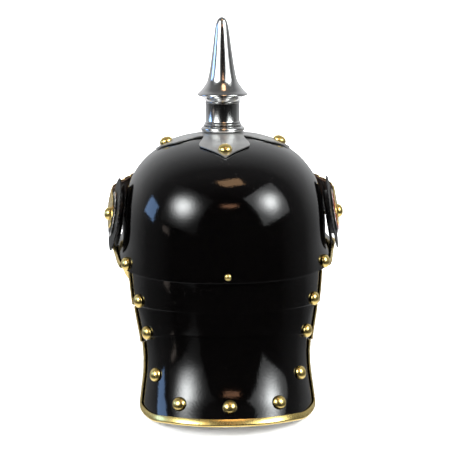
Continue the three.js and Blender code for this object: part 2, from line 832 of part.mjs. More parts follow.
function addCockade({ word, sign }) {
  const { spot, axis } = cockadeFrame(sign);
  const stand = new THREE.Matrix4();
  const forward = strapForward(axis);
  stand.makeBasis(forward, axis.clone().cross(forward), axis).setPosition(spot);
  const add = (name, geometry, finish, foot) => {
    const placed = geometry.translate(0, 0, foot).applyMatrix4(stand);
    addPiece(`${name}_${word}`, closedBody(placed), finish);
  };
  const hole = shankRadius + fitGap;
  add('cockade_back_disc', toothedDisc(backDiscRadius, discSheet, 0, hole), 'blackCockade', backDiscFoot);
  const ring = [[hole, 0], [bossRadius, 0], [bossRadius, bossRise], [hole, bossRise], [hole, 0]];
  add('cockade_boss', turned(ring, ringSides), 'blackCockade', bossFoot);
  add('cockade_front_disc', toothedDisc(frontDiscRadius, discSheet, frontDish, hole), 'blackCockade', frontDiscFoot);
  add('cockade_ray_disc', toothedDisc(rayDiscRadius, rayDiscSheet, 0, hole), 'silver', rayDiscFoot);
  const centre = [
    [hole, 0], [centreDiscRadius, 0], [centreDiscRadius, centreSheet], [hole, centreSheet], [hole, 0],
  ];
  add('cockade_centre', turned(centre, ringSides), sign > 0 ? 'blackCockade' : 'redCockade', centreFoot);
  const plate = new THREE.ExtrudeGeometry(endPlateShape(), {
    depth: endPlateSheet, bevelEnabled: false, curveSegments: 7,
  });
  add('strap_end', plate, 'brass', endPlateFoot);
  const faces = { outer: capFoot, inner: seatHeight('skull', spot, axis, rivetTailRadius, -1) };
  pointAlong(addPiece(`cockade_stud_${word}`, rivetBody(domeRadius, domeRise, faces), 'brass'), spot, axis);
  holes.skull.push(shankHole(spot, axis, shankRadius + fitGap));
}

// Clearance of the strap from the skull by its turn from the front. It stands off over the
// cockade, runs straight to the skull and then lies on it.
const strapRows = [
  { turn: 0, stand: 0.12 },
  { turn: 30, stand: 0.12 },
  { turn: 50, stand: 0.16 },
  { turn: 62, stand: 0.52 },
  { turn: 74, stand: 1.06 },
  { turn: 84, stand: 1.1 },
];

function strapHeight(turn) {
  return cockadeHeight + strapRise * Math.cos(turn);
}

function strapSpot(turn) {
  const level = levelAtHeight(turn, strapHeight(turn));
  const stand = endPlateFoot * fromTable(strapRows, 'turn', 'stand', rimTurn(turn), true);
  return skullAt(turn, level, -stand);
}

// A section across the strap: outer and inner lines at given distances from its inner face.
function strapSection(turn, width, foot, top) {
  const step = 0.02;
  const along = strapSpot(turn + step).sub(strapSpot(turn - step)).normalize();
  const level = levelAtHeight(turn, strapHeight(turn));
  const outward = skullNormal(turn, level);
  const across = along.clone().cross(outward).normalize();
  outward.copy(across.clone().cross(along)).normalize();
  if (outward.dot(skullNormal(turn, level)) < 0) {
    outward.negate();
  }
  const line = (height, crown) => [-1, 0, 1].map((side) => strapSpot(turn)
    .addScaledVector(across, side * width / 2)
    .addScaledVector(outward, height + (side === 0 ? crown : 0)));
  return { outer: line(top, scaleLift), inner: line(foot, scaleLift) };
}

const strapEndTurn = 75;

function strapWidth(turn) {
  return strapMidWidth + (strapEndWidth - 2 - strapMidWidth) * Math.abs(turn) / (strapEndTurn * degrees);
}

function strapLeather() {
  const reach = strapEndTurn * degrees;
  const sections = [...Array(strapSteps + 1).keys()].map((i) => {
    const turn = reach * (2 * i / strapSteps - 1);
    return strapSection(turn, strapWidth(turn) - 2, 0, strapSheet);
  });
  return sectionBody(sections);
}

// A row of overlapping scales as one body: each scale starts low under the last one and rises
// to its free edge.
function scaleRow(sign) {
  const first = strapEndTurn * degrees;
  const last = buckleLength / 2 / (skullFront) + 0.02;
  const pitch = (first - last) / scaleCount;
  const sections = [];
  const foot = strapSheet + fitGap;
  for (let i = 0; i < scaleCount; i += 1) {
    const start = last + pitch * i;
    for (const [share, height] of [[0.02, 2.2], [0.98, 1]]) {
      const turn = sign * (start + pitch * share);
      sections.push(strapSection(turn, strapWidth(turn), foot, foot + scaleSheet * height));
    }
  }
  return sectionBody(sections);
}

function strapBuckle() {
  const reach = buckleLength / 2 / skullFront;
  const foot = strapSheet + fitGap;
  const sections = [-1, -0.33, 0.33, 1].map((share) => (
    strapSection(share * reach, strapMidWidth + 3, foot, foot + buckleSheet)
  ));
  return sectionBody(sections);
}

// Assembly

const plateBodies = {
  skull: skullShell(),
  spike_base: crossBase(),
};
for (const plate of plates) {
  plateBodies[plate.name] = plateBody(plate);
}
const holes = { skull: [], lame_1: [], lame_2: [], tail_plate: [], spike_base: [] };

for (const side of sides) {
  addCockade(side);
}
addPiece('strap_leather', strapLeather(), 'leather');
addPiece('strap_scales_left', scaleRow(1), 'brass');
addPiece('strap_scales_right', scaleRow(-1), 'brass');
addPiece('strap_buckle', strapBuckle(), 'brass');
addGuardRivets();
addBaseStuds();
addSpike();
for (const name of ['skull', 'lame_1', 'lame_2', 'tail_plate']) {
  addPiece(name, cutAway(plateBodies[name], holes[name]), 'lacquer');
}
addPiece('spike_base', cutAway(plateBodies.spike_base, holes.spike_base), 'satinSteel');
for (const { word, sign } of sides) {
  addPiece(`lame_1_trim_${word}`, lameTrim(plates[0], sign), 'brass');
  addPiece(`lame_2_trim_${word}`, lameTrim(plates[1], sign), 'brass');
}
const visorEdging = addPiece('visor_trim', visorTrim(), 'brass');
const tailEdging = addPiece('tail_trim', tailTrim(plates[2]), 'brass');

// The helmet leans forward until the visor and the tail both touch the table. The lean is found
// by halving, then the two trims are worn flat where they touch.
function lowestAt(piece, lean) {
  const place = piece.geometry.attributes.position;
  let lowest = Infinity;
  for (let i = 0; i < place.count; i += 1) {
    lowest = Math.min(lowest, place.getY(i) * Math.sin(lean) + place.getZ(i) * Math.cos(lean));
  }
  return lowest;
}

let [upright, tipped] = [0, 30 * degrees];
for (let i = 0; i < 40; i += 1) {
  const lean = (upright + tipped) / 2;
  if (lowestAt(visorEdging, lean) > lowestAt(tailEdging, lean)) {
    upright = lean;
  } else {
    tipped = lean;
  }
}
helmet.rotation.x = upright;
helmet.position.z = -lowestAt(tailEdging, upright) - footFlat;
helmet.updateMatrixWorld();

function wornFlat(piece) {
  const [reach, depth] = [3 * skullWidth, skullRise];
  const table = new THREE.BoxGeometry(reach, reach, depth).translate(0, 0, -depth / 2);
  const inHelmet = table.applyMatrix4(helmet.matrixWorld.clone().invert());
  piece.geometry = cutAway(piece.geometry, [closedBody(inHelmet)]);
}

wornFlat(visorEdging);
wornFlat(tailEdging);

// The origin lies on the table under the middle of the helmet's length.
const extent = new THREE.Box3().setFromObject(helmet, true);
helmet.position.y -= (extent.min.y + extent.max.y) / 2;

const model = new THREE.Group();
model.add(helmet);

export default model;
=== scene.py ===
import math

import bpy
from mathutils import Matrix, Vector


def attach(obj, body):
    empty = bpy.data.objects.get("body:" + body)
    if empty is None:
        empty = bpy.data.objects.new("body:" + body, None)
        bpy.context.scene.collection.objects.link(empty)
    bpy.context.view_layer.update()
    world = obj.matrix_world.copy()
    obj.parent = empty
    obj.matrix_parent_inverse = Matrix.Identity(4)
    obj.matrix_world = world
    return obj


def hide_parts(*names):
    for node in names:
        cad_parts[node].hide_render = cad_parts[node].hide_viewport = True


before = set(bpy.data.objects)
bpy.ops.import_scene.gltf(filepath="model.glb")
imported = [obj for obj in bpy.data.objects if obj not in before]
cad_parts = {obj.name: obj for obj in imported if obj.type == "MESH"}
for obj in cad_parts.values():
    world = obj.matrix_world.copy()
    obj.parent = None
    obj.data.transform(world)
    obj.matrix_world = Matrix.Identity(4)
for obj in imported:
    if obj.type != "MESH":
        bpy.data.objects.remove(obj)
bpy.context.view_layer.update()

# Sizes are in millimetres in the helmet's own frame, as the solids have them: the origin is the
# middle of the skull's widest ring, the spike points to +Z, the visor to -Y and the wearer's left
# to +X. STAND leans and lifts that frame onto the table.
MM = 0.001
LEAN = math.radians(14.2384)
STAND = Matrix.Translation((0, -0.023024, 0.138315)) @ Matrix.Rotation(LEAN, 4, "X")

HALF_WIDTH = 101
SKULL_FRONT = 120
SKULL_BACK = 118
SKULL_RISE = 94
DOME_FULLNESS = 2.5
PLAN_FULLNESS = 2.3
STEEL_SHEET = 1.2
PLATE_BEVEL = 0.58
PLATE_STEP = 1.7
VISOR_REACH = 45
VISOR_DROP = 98
EAR_CORNER = math.radians(113.8)
GUARD_DROP = 128
GUARD_SPREAD = 30
GUARD_OVERLAP = 0.5
TAIL_CORNER = 17
BRASS_SHEET = 0.8
TRIM_LAP = 3.6
TRIM_GAP = 0.9
TRIM_FLATNESS = 0.84
TRIM_BEVEL = 0.16
TAIL_LAP = 4.8
DOME_RADIUS = 6.7
DOME_RISE = 5.4
BASE_REACH = 67
BASE_FORE_REACH = 79
BASE_STUD_REACH = BASE_REACH * 0.836
FORE_STUD_REACH = BASE_FORE_REACH * 0.853
BASE_SHOULDER = 24.4
BASE_LIFT = 2.1
COLLAR_SEAT = 97.1
NECK_FOOT = 102.8
NECK_RISE = 31
SPIKE_RISE = 76.3
FLANGE_RADIUS = 25
COCKADE_HEIGHT = 15.5
COCKADE_BEHIND = 8
BACK_DISC_RADIUS = 31.5
FRONT_DISC_RADIUS = 36.5
RAYED_DISC_RADIUS = 22.5
DISC_BOSS_RADIUS = 22
STRAP_SLOPE = math.radians(16)
STRAP_RISE = 36
SAME_SPOT = 1e-4
NEAR_EDGE = 0.02
INNER_SHARE = 0.97


# Working by hand in edit mode

def choose(*pieces):
    """Leaves edit mode and selects these pieces alone, the last one active."""
    if bpy.context.mode != "OBJECT":
        bpy.ops.object.mode_set(mode="OBJECT")
    bpy.ops.object.select_all(action="DESELECT")
    for piece in pieces:
        piece.select_set(True)
        bpy.context.view_layer.objects.active = piece


def clear_choice():
    """Nothing is selected, so that a new primitive stands alone."""
    if bpy.context.mode != "OBJECT":
        bpy.ops.object.mode_set(mode="OBJECT")
    bpy.ops.object.select_all(action="DESELECT")


def edit_all(piece):
    choose(piece)
    bpy.ops.object.mode_set(mode="EDIT")
    bpy.ops.mesh.select_all(action="SELECT")


def settle(piece):
    """Puts the piece's place into its mesh."""
    choose(piece)
    bpy.ops.object.transform_apply(location=True, rotation=True, scale=True)


def apply_modifier(piece, kind, **settings):
    choose(piece)
    modifier = piece.modifiers.new(kind.title(), kind)
    for name, value in settings.items():
        setattr(modifier, name, value)
    bpy.ops.object.modifier_apply(modifier=modifier.name)


def merge_doubles(piece):
    edit_all(piece)
    bpy.ops.mesh.remove_doubles(threshold=SAME_SPOT)
    bpy.ops.object.mode_set(mode="OBJECT")


def face_outwards(piece):
    """For closed shapes only."""
    edit_all(piece)
    bpy.ops.mesh.normals_make_consistent(inside=False)
    bpy.ops.object.mode_set(mode="OBJECT")


def smooth(piece, angle=34):
    choose(piece)
    bpy.ops.object.shade_smooth_by_angle(angle=math.radians(angle))


def place_on_helmet(piece, matrix=None):
    """Carries a piece from millimetres in a frame of the helmet to metres on the table."""
    scale = Matrix.Scale(MM, 4)
    piece.matrix_world = STAND @ scale @ (matrix or Matrix.Identity(4)) @ piece.matrix_world
    settle(piece)


def laid_sheet(name, columns, rows, place, inside=(0, 0, 0)):
    """A subdivided grid whose corners are laid on a surface, facing away from a point inside."""
    clear_choice()
    last_column, last_row = len(columns) - 1, len(rows) - 1
    bpy.ops.mesh.primitive_grid_add(
        x_subdivisions=last_column, y_subdivisions=last_row, size=1, location=(0.5, 0.5, 0))
    sheet = bpy.context.object
    sheet.name = name
    settle(sheet)
    for corner in sheet.data.vertices:
        column = columns[round(corner.co.x * last_column)]
        corner.co = place(column, rows[round(corner.co.y * last_row)])
    merge_doubles(sheet)
    middle = sheet.data.polygons[len(sheet.data.polygons) // 2]
    if middle.normal.dot(middle.center - Vector(inside)) < 0:
        edit_all(sheet)
        bpy.ops.mesh.flip_normals()
        bpy.ops.object.mode_set(mode="OBJECT")
    return sheet


def break_edges(piece, width, angle):
    """Bevels the edges that turn by more than angle."""
    apply_modifier(piece, "BEVEL", width=width, segments=2, limit_method="ANGLE",
                   angle_limit=math.radians(angle))


def steel_plate(sheet, thickness=STEEL_SHEET, edge=0.28):
    """Gives a laid sheet its thickness inwards and breaks its sharp edges."""
    apply_modifier(sheet, "SOLIDIFY", thickness=thickness, offset=-1, use_even_offset=True)
    break_edges(sheet, edge, 50)
    smooth(sheet)
    return sheet


def turned_piece(name, rings, sides=72, angle=30):
    """A disc drawn up ring by ring about Z, from (radius, height) pairs, closed at both ends."""
    clear_choice()
    radius, height = rings[0]
    bpy.ops.mesh.primitive_circle_add(
        vertices=sides, radius=radius, fill_type="NGON", location=(0, 0, height))
    piece = bpy.context.object
    piece.name = name
    settle(piece)
    edit_all(piece)
    for wider, higher in rings[1:]:
        bpy.ops.mesh.extrude_region_move(TRANSFORM_OT_translate={"value": (0, 0, higher - height)})
        share = wider / radius
        bpy.ops.transform.resize(value=(share, share, 1), center_override=(0, 0, higher))
        radius, height = wider, higher
    bpy.ops.object.mode_set(mode="OBJECT")
    face_outwards(piece)
    smooth(piece, angle)
    return piece


def copy_of(piece, name):
    """A copy with its own mesh."""
    choose(piece)
    bpy.ops.object.duplicate(linked=False)
    twin = bpy.context.object
    twin.name = name
    return twin


def joined(name, pieces):
    choose(*pieces)
    bpy.ops.object.join()
    whole = bpy.context.object
    whole.name = name
    return whole


def even(first, last, count):
    return [first + (last - first) * i / count for i in range(count + 1)]


# Surfaces

def from_table(rows, key, column, place, level_ends=False):
    """Smooth value of a column of a table whose rows stand at the places in column key."""
    last = len(rows) - 1
    spot = min(max(place, rows[0][key]), rows[last][key])
    i = 0
    while i < last - 1 and rows[i + 1][key] < spot:
        i += 1

    def slope(n):
        if level_ends and n in (0, last):
            return 0
        before = rows[max(n - 1, 0)]
        after = rows[min(n + 1, last)]
        return (after[column] - before[column]) / (after[key] - before[key])

    here, there = rows[i], rows[i + 1]
    span = there[key] - here[key]
    s = (spot - here[key]) / span
    return (here[column] * (2 * s**3 - 3 * s**2 + 1) + slope(i) * span * (s**3 - 2 * s**2 + s)
            + there[column] * (3 * s**2 - 2 * s**3) + slope(i + 1) * span * (s**3 - s**2))


RIM_ROWS = [
    {"turn": 0, "flare": 1, "drop": 1, "crease": 0.36, "curl": 1.15},
    {"turn": 15, "flare": 0.97, "drop": 0.985, "crease": 0.36, "curl": 1.15},
    {"turn": 30, "flare": 0.8, "drop": 0.9, "crease": 0.36, "curl": 1.15},
    {"turn": 45, "flare": 0.5, "drop": 0.69, "crease": 0.36, "curl": 1.2},
    {"turn": 60, "flare": 0.28, "drop": 0.43, "crease": 0.3, "curl": 1.4},
    {"turn": 72, "flare": 0.24, "drop": 0.245, "crease": 0.12, "curl": 1.7},
    {"turn": 83, "flare": 0.24, "drop": 0.158, "crease": 0, "curl": 2},
    {"turn": 98, "flare": 0.14, "drop": 0.241, "crease": 0, "curl": 2},
    {"turn": 113.8, "flare": 0.115, "drop": 0.306, "crease": 0, "curl": 2},
    {"turn": 130, "flare": 0.02, "drop": 0.337, "crease": 0, "curl": 2},
    {"turn": 180, "flare": 0, "drop": 0.349, "crease": 0, "curl": 2},
]
rim_memory = {}


def rim(turn):
    """Flare, drop, crease and curl of the rim at a turn from the front."""
    place = round(math.degrees(abs(turn)), 6)
    if place not in rim_memory:
        rim_memory[place] = [from_table(RIM_ROWS, "turn", column, place, True)
                             for column in ("flare", "drop", "crease", "curl")]
    return rim_memory[place]


def plan_radius(turn):
    length = SKULL_FRONT if math.cos(turn) > 0 else SKULL_BACK
    across = (abs(math.sin(turn)) / HALF_WIDTH) ** PLAN_FULLNESS
    along = (abs(math.cos(turn)) / length) ** PLAN_FULLNESS
    return (across + along) ** (-1 / PLAN_FULLNESS)


def skull_point(turn, level):
    """Level runs from 0 at the crown to 1 at the widest ring and 2 at the rim."""
    if level <= 1:
        fall = level * math.pi / 2
        radius = plan_radius(turn) * math.sin(fall) ** (2 / DOME_FULLNESS)
        height = SKULL_RISE * max(math.cos(fall), 0) ** (2 / DOME_FULLNESS)
    else:
        flare, drop, crease, curl = rim(turn)
        bend = max(0, (level - 1 - crease) / (1 - crease)) ** curl
        radius = plan_radius(turn) + VISOR_REACH * flare * bend
        height = -VISOR_DROP * drop * (level - 1)
    return Vector((math.sin(turn) * radius, -math.cos(turn) * radius, height))


def normal_of(surface, a, b, step=0.01):
    along_a = surface(a + step, b) - surface(a - step, b)
    along_b = surface(a, b + step) - surface(a, b - step)
    return along_a.cross(along_b).normalized()


def skull_normal(turn, level):
    spot = min(max(level, NEAR_EDGE), 2 - NEAR_EDGE)
    normal = normal_of(skull_point, turn, spot)
    return normal if normal.dot(skull_point(turn, spot)) > 0 else -normal


def skull_at(turn, level, depth):
    return skull_point(turn, level) - skull_normal(turn, level) * depth


def level_at_height(turn, height):
    if height < 0:
        return 1 - height / (VISOR_DROP * rim(turn)[1])
    return math.acos((height / SKULL_RISE) ** (DOME_FULLNESS / 2)) / (math.pi / 2)


def skull_height_at(x, y):
    share = min(math.hypot(x, y) / plan_radius(math.atan2(x, -y)), 1)
    return SKULL_RISE * (1 - share**DOME_FULLNESS) ** (1 / DOME_FULLNESS)


# The neck guard by station: 0, 1 and 2 are the seams, 5 the tail's end. The side edge and the
# middle line each go back by shares of GUARD_SPREAD and down by shares of GUARD_DROP.
TAIL_END = 5
GUARD_COLUMNS = ("station", "side", "edge_back", "edge_drop", "mid_back", "mid_drop")
GUARD_ROWS = [dict(zip(GUARD_COLUMNS, row)) for row in (
    (-1, 0.952, -0.35, -0.14, -0.02, -0.12),
    (0, 0.942, 0.05, 0.0, 0.0, 0.0),
    (1, 0.888, 0.4, 0.28, 0.02, 0.222),
    (2, 0.812, 0.7, 0.553, 0.07, 0.402),
    (3, 0.798, 0.87, 0.735, 0.23, 0.625),
    (4, 0.828, 1.12, 0.97, 0.54, 0.83),
    (TAIL_END, 0.835, 1.32, 1.115, 1.0, 1.0),
)]
EAR_POINT = skull_point(EAR_CORNER, 2)
BACK_POINT = skull_point(math.pi, 2)
EDGE_SHARE = 0.951
guard_memory = {}


def bow(across):
    def depth_at(share):
        return 1 - (1 - share**PLAN_FULLNESS) ** (1 / PLAN_FULLNESS)
    return depth_at(min(abs(across), 1) * EDGE_SHARE) / depth_at(EDGE_SHARE)


def guard_section(station):
    place = round(station, 6)
    if place not in guard_memory:
        guard_memory[place] = [from_table(GUARD_ROWS, "station", column, place)
                               for column in GUARD_COLUMNS[1:]]
    return guard_memory[place]


def guard_point(across, station):
    side, edge_back, edge_drop, mid_back, mid_drop = guard_section(station)
    edge_y = EAR_POINT.y + GUARD_SPREAD * edge_back
    edge_z = EAR_POINT.z - GUARD_DROP * edge_drop
    mid_y = BACK_POINT.y - PLATE_STEP + GUARD_SPREAD * mid_back
    mid_z = BACK_POINT.z - GUARD_DROP * mid_drop
    depth = bow(across)
    return Vector((
        HALF_WIDTH * side * across,
        mid_y + (edge_y - mid_y) * depth,
        mid_z + (edge_z - mid_z) * depth * depth,
    ))


def guard_normal(across, station):
    side = min(max(across, NEAR_EDGE - 1), 1 - NEAR_EDGE)
    spot = min(max(station, NEAR_EDGE - 1), TAIL_END - NEAR_EDGE)
    normal = normal_of(guard_point, side, spot)
    return normal if normal.y > 0 else -normal


def guard_at(across, station, depth):
    return guard_point(across, station) - guard_normal(across, station) * depth


PLATES = [
    {"name": "lame_1", "seam": 0, "bottom": 1, "tuck": 0},
    {"name": "lame_2", "seam": 1, "bottom": 2, "tuck": 2},
    {"name": "tail_plate", "seam": 2, "bottom": TAIL_END, "tuck": 2},
]


def plate_depth(index, station):
    plate = PLATES[index]
    if station < plate["seam"]:
        return PLATE_STEP + (plate_depth(index - 1, station) if index else 0)
    return PLATE_STEP * (1 - (station - plate["seam"]) / (plate["bottom"] - plate["seam"]))


LOW_SIDE = GUARD_ROWS[-1]["side"]
CORNER_SHARE = TAIL_CORNER / (HALF_WIDTH * LOW_SIDE)
CORNER_STATIONS = TAIL_CORNER / (guard_point(1, TAIL_END) - guard_point(1, TAIL_END - 1)).length
TAIL_STRAIGHT = TAIL_END - CORNER_STATIONS


def plate_rows(index):
    """Stations, each with the share of the half width that is kept there."""
    plate = PLATES[index]
    seam = plate["seam"]
    tail = plate["bottom"] == TAIL_END
    straight = TAIL_STRAIGHT if tail else plate["bottom"]
    tucked = 1 - plate["tuck"] * TRIM_LAP / HALF_WIDTH
    rows = [(station, tucked) for station in even(seam - GUARD_OVERLAP, seam, 4)]
    rows += [(station, 1) for station in even(seam + NEAR_EDGE, straight, 30 if tail else 14)]
    if tail:
        for angle in (math.radians(turn) for turn in range(9, 91, 9)):
            rows.append((straight + CORNER_STATIONS * math.sin(angle),
                         1 - CORNER_SHARE * (1 - math.cos(angle))))
    return rows


# Shell

def skull_shell():
    turns = even(-math.pi, math.pi, 180)
    levels = even(0, 1, 34) + even(1, 2, 34)[1:]
    shell = laid_sheet("skull_shell", turns, levels, lambda turn, level: (
        skull_at(turn, level, 0) if level else Vector((0, 0, SKULL_RISE))))
    return steel_plate(shell)


def guard_plate(index):
    """One plate of the neck guard. Its columns crowd towards the sides, where it bends most."""
    reach = math.radians(66)
    across = [math.sin(reach * share) / math.sin(reach) for share in even(-1, 1, 72)]

    def place(share, row):
        station, kept = row
        return guard_at(share * kept, station, plate_depth(index, station))

    name = PLATES[index]["name"] + "_sheet"
    plate = laid_sheet(name, across, plate_rows(index), place, (0, 0, -60))
    return steel_plate(plate, edge=PLATE_BEVEL)


# Brass edging

def fold_profile(lap):
    """Closed line of a folded strip as (into, deep) pairs: round the outside, then back inside."""
    middle = STEEL_SHEET / 2
    outer = middle + TRIM_GAP + BRASS_SHEET
    inner = middle + TRIM_GAP
    arc = [(TRIM_FLATNESS * math.cos(turn), math.sin(turn))
           for turn in map(math.radians, range(-90, 91, 15))]
    line = [(lap, middle - outer)]
    line += [(-outer * out, middle + outer * deep) for out, deep in arc]
    line += [(lap, middle + outer), (lap, middle + inner)]
    line += [(-inner * out, middle - inner * deep) for out, deep in arc]
    line += [(lap, middle - inner)]
    return line + line[:1]


def folded_strip(name, spots, lap=TRIM_LAP):
    """Folded brass along spots, each an edge, a point inside it and one on the other face."""
    frames = []
    for i, (edge, inside, back) in enumerate(spots):
        along = (spots[min(i + 1, len(spots) - 1)][0] - spots[max(i - 1, 0)][0]).normalized()
        inward = inside - edge
        inward = (inward - along * inward.dot(along)).normalized()
        outward = inward.cross(along).normalized()
        if outward.dot(back - edge) > 0:
            outward = -outward
        frames.append((edge, inward, outward))

    def place(at, pair):
        edge, inward, outward = at
        into, deep = pair
        return edge + inward * into - outward * deep

    strip = laid_sheet(name, frames, fold_profile(lap), place)
    edit_all(strip)
    bpy.ops.mesh.select_all(action="DESELECT")
    bpy.ops.mesh.select_non_manifold(extend=False, use_wire=False, use_multi_face=False,
                                     use_non_contiguous=False, use_verts=False)
    bpy.ops.mesh.fill_holes(sides=0)
    bpy.ops.object.mode_set(mode="OBJECT")
    face_outwards(strip)
    break_edges(strip, TRIM_BEVEL, 60)
    smooth(strip)
    return strip


def visor_edging():
    reach = EAR_CORNER - math.radians(0.8)
    inner_level = 1.93
    return folded_strip("visor_edging", [
        (skull_at(turn, 2, 0), skull_at(turn, inner_level, 0), skull_at(turn, 2, STEEL_SHEET))
        for turn in even(-reach, reach, 150)])


def plate_spot(index, across, station, inner_across, inner_station):
    depth = plate_depth(index, station)
    return (guard_at(across, station, depth),
            guard_at(inner_across, inner_station, plate_depth(index, inner_station)),
            guard_at(across, station, depth + STEEL_SHEET))


def lame_edging(index, word, sign):
    seam, bottom = PLATES[index]["seam"], PLATES[index]["bottom"]
    return folded_strip(f"{PLATES[index]['name']}_edging_{word}", [
        plate_spot(index, sign, station, sign * INNER_SHARE, station)
        for station in even(seam + 0.03, bottom - NEAR_EDGE, 16)])


def tail_edging():
    """Down one side from just above the seam, round both corners and up the other side."""
    start, step_in = 1.985, 0.1
    half = [(1, station, INNER_SHARE, station) for station in even(start, TAIL_STRAIGHT, 40)]
    for angle in (math.radians(turn) for turn in range(6, 90, 6)):
        across = 1 - CORNER_SHARE * (1 - math.cos(angle))
        station = TAIL_STRAIGHT + CORNER_STATIONS * math.sin(angle)
        half.append((across, station, across - step_in * CORNER_SHARE * math.cos(angle),
                     station - step_in * CORNER_STATIONS * math.sin(angle)))
    half += [(across, TAIL_END, across, TAIL_END - NEAR_EDGE)
             for across in even(1 - CORNER_SHARE, 0, 24)]
    other = [(-across, station, -inner, inner_station)
             for across, station, inner, inner_station in half[-2::-1]]
    return folded_strip("tail_edging", [plate_spot(2, *spot) for spot in half + other], TAIL_LAP)


# Rivets

PATTERN_DEPTH = 3.0


def dome_line(radius, rise, foot):
    """Half profile of a domed head with a short upright rim."""
    lip = 0.5
    line = [(radius * 0.96, foot), (radius, foot + lip * 0.4), (radius, foot + lip)]
    for turn in even(0, 84, 9)[1:]:
        angle = math.radians(turn)
        line.append((radius * math.cos(angle), foot + lip + (rise - lip) * math.sin(angle)))
    return line + [(radius * 0.02, foot + rise)]


def domed_rivet(name, radius, rise, shank, tail):
    """Head above the outer face, shank, and an inner head whose face lies at PATTERN_DEPTH."""
    depth = PATTERN_DEPTH
    rings = [(tail * 0.7, -depth - 0.9), (tail * 0.95, -depth - 0.6), (tail, -depth),
             (shank, -depth + 0.02), (shank, 0.2)]
    return turned_piece(name, rings + dome_line(radius, rise, 0.25), 40, 40)


def axis_frame(spot, axis):
    turn = Vector((0, 0, 1)).rotation_difference(axis).to_matrix().to_4x4()
    return Matrix.Translation(spot) @ turn


def cad_depth(node, spot, axis):
    """How deep below a spot the solid of a node reaches along an axis, in millimetres."""
    start = STAND @ (spot * MM)
    direction = (STAND.to_3x3() @ axis).normalized()
    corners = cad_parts[node].data.vertices
    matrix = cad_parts[node].matrix_world
    return -min((matrix @ corner.co - start).dot(direction) for corner in corners) / MM


def seat_rivet(pattern, node, spot, axis, brass):
    """A copy of the pattern at a spot, with its shank as long as the solid's."""
    rivet = copy_of(pattern, node + "_domed")
    reach = cad_depth(node, spot, axis) - 1
    choose(rivet)
    bpy.ops.object.mode_set(mode="EDIT")
    bpy.ops.mesh.select_all(action="DESELECT")
    bpy.ops.object.mode_set(mode="OBJECT")
    for corner in rivet.data.vertices:
        corner.select = corner.co.z < -PATTERN_DEPTH + 0.1
    bpy.ops.object.mode_set(mode="EDIT")
    bpy.ops.transform.translate(value=(0, 0, PATTERN_DEPTH - reach))
    bpy.ops.object.mode_set(mode="OBJECT")
    place_on_helmet(rivet, axis_frame(spot, axis))
    dress(rivet, node, "brass", brass)


def dress(piece, node, slot, material):
    """Gives a piece its finish, hides the solid that it stands for and hangs it under the root."""
    piece.data.materials.clear()
    piece.data.materials.append(material)
    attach(piece, "root")
    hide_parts(node)


SIDES = (("left", 1), ("right", -1))
SIDE_RIVETS = [
    {"name": "rivet_lame_1", "across": 0.925, "station": 0.82, "plate": 0},
    {"name": "rivet_lame_2", "across": 0.92, "station": 1.82, "plate": 1},
    {"name": "rivet_tail_side", "across": 0.855, "station": 3.3, "plate": 2},
    {"name": "rivet_tail_corner", "across": 0.56, "station": 4.26, "plate": 2},
]
BASE_STUDS = (("back", 180, FORE_STUD_REACH), ("left", 90, BASE_STUD_REACH),
              ("front", 0, FORE_STUD_REACH), ("right", -90, BASE_STUD_REACH))


def skull_rivet(pattern, node, turn, level, brass):
    seat_rivet(pattern, node, skull_point(turn, level), skull_normal(turn, level), brass)


def guard_rivet(pattern, node, plate, across, station, brass):
    spot = guard_at(across, station, plate_depth(plate, station))
    seat_rivet(pattern, node, spot, guard_normal(across, station), brass)


def all_rivets(brass):
    pattern = domed_rivet("rivet_pattern", DOME_RADIUS, DOME_RISE, 1.7, 2.8)
    for word, sign in SIDES:
        skull_rivet(pattern, f"rivet_skull_{word}", sign * math.radians(119.5), 1.8, brass)
        for row in SIDE_RIVETS:
            guard_rivet(pattern, f"{row['name']}_{word}", row["plate"], sign * row["across"],
                        row["station"], brass)
    guard_rivet(pattern, "rivet_tail_middle", 2, 0, 4.32, brass)
    for word, angle, reach in BASE_STUDS:
        turn = math.radians(angle)
        x, y = math.sin(turn) * reach, -math.cos(turn) * reach
        height = skull_height_at(x, y)
        axis = skull_normal(turn, level_at_height(turn, height))
        foot = Vector((x, y, height + BASE_LIFT + 0.1))
        seat_rivet(pattern, f"base_stud_{word}", foot, axis, brass)
    small = domed_rivet("small_pattern", 3.3, 2.8, 1.4, 2.4)
    above_seam = 6.2
    level = level_at_height(math.pi, BACK_POINT.z + above_seam)
    skull_rivet(small, "rear_stud", math.pi, level, brass)
    for spare in (pattern, small):
        bpy.data.objects.remove(spare)


# Spike, collar and cross base

ARM_ROWS = [
    {"along": 1, "half": 0.0},
    {"along": 0.9, "half": 0.36},
    {"along": 0.79, "half": 0.76},
    {"along": 0.715, "half": 0.97},
    {"along": 0.65, "half": 1.0},
    {"along": 0.52, "half": 0.9},
    {"along": 0.4, "half": 0.82},
    {"along": 0.29, "half": 0.796},
]


def arm_table(arm_reach):
    """The arm's outline by its turn from the arm's middle line, in degrees."""
    rows = []
    corner = ARM_ROWS[-1]["along"]
    for row in ARM_ROWS:
        share = (row["along"] - corner) / (1 - corner)
        along = row["along"] * BASE_REACH + share * (arm_reach - BASE_REACH)
        half = row["half"] * BASE_SHOULDER
        turn = math.degrees(math.atan2(half, along))
        rows.append({"turn": turn, "reach": math.hypot(along, half)})
    return rows


